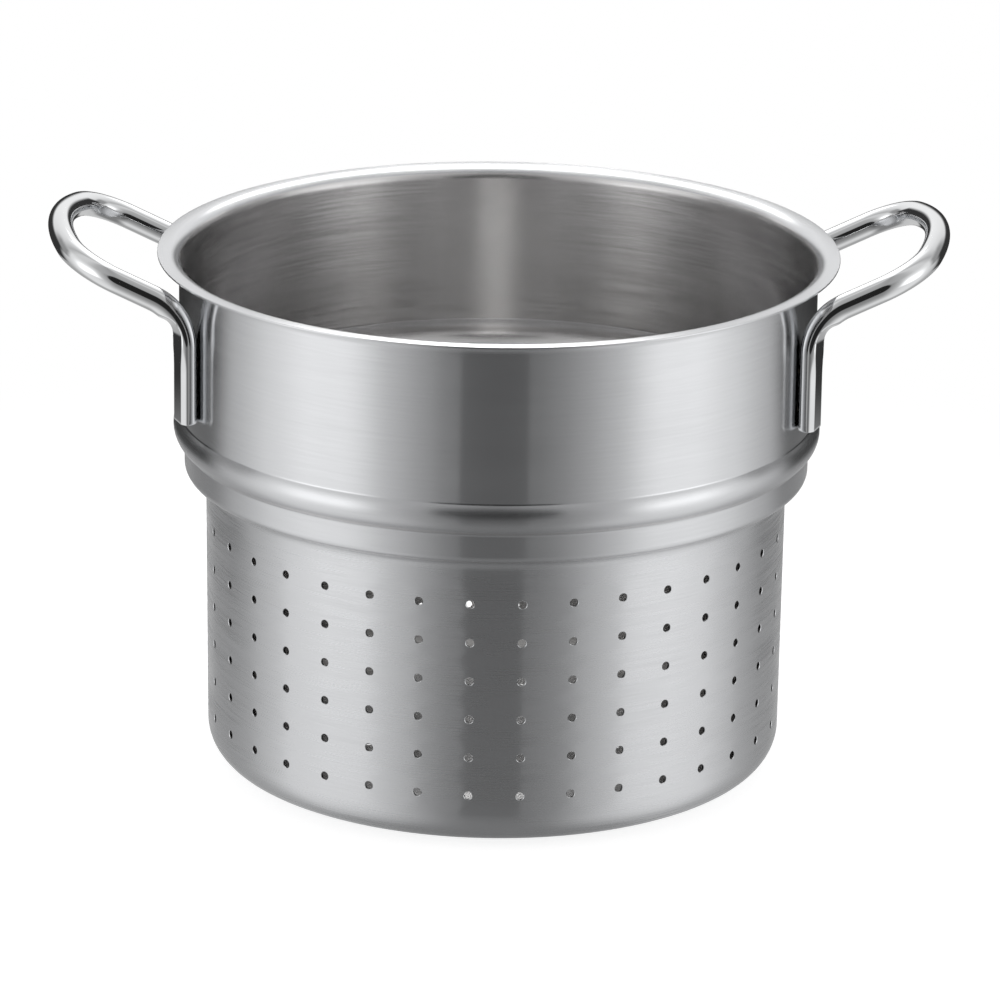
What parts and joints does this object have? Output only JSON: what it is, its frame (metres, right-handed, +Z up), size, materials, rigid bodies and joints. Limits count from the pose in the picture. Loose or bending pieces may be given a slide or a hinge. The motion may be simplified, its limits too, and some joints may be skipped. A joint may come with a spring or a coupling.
{
  "type": "steamer pot insert",
  "caption": "Tall stainless-steel steamer and pasta insert with perforated lower wall and base, stepped shoulder with a bead to rest on a pot rim, flared lip and two bent rod handles.",
  "frame": {"origin": "centre of the base's underside, the plane the insert stands on", "axes": "+Z up along the vessel's axis, +X through the right handle, +Y to the back"},
  "size_m": [0.3398, 0.2578, 0.2146],
  "materials": {
    "shell_steel": "satin, brushed round the wall",
    "handle_steel": "mirror-polished stainless steel",
    "weld_steel": "as welded, hidden under the legs"
  },
  "bodies": {
    "root": {"basket_shell": "shell_steel", "handle_left": "handle_steel", "handle_right": "handle_steel", "weld_left_front_lower": "weld_steel", "weld_left_front_upper": "weld_steel", "weld_left_rear_lower": "weld_steel", "weld_left_rear_upper": "weld_steel", "weld_right_front_lower": "weld_steel", "weld_right_front_upper": "weld_steel", "weld_right_rear_lower": "weld_steel", "weld_right_rear_upper": "weld_steel"}
  },
  "joints": []
}
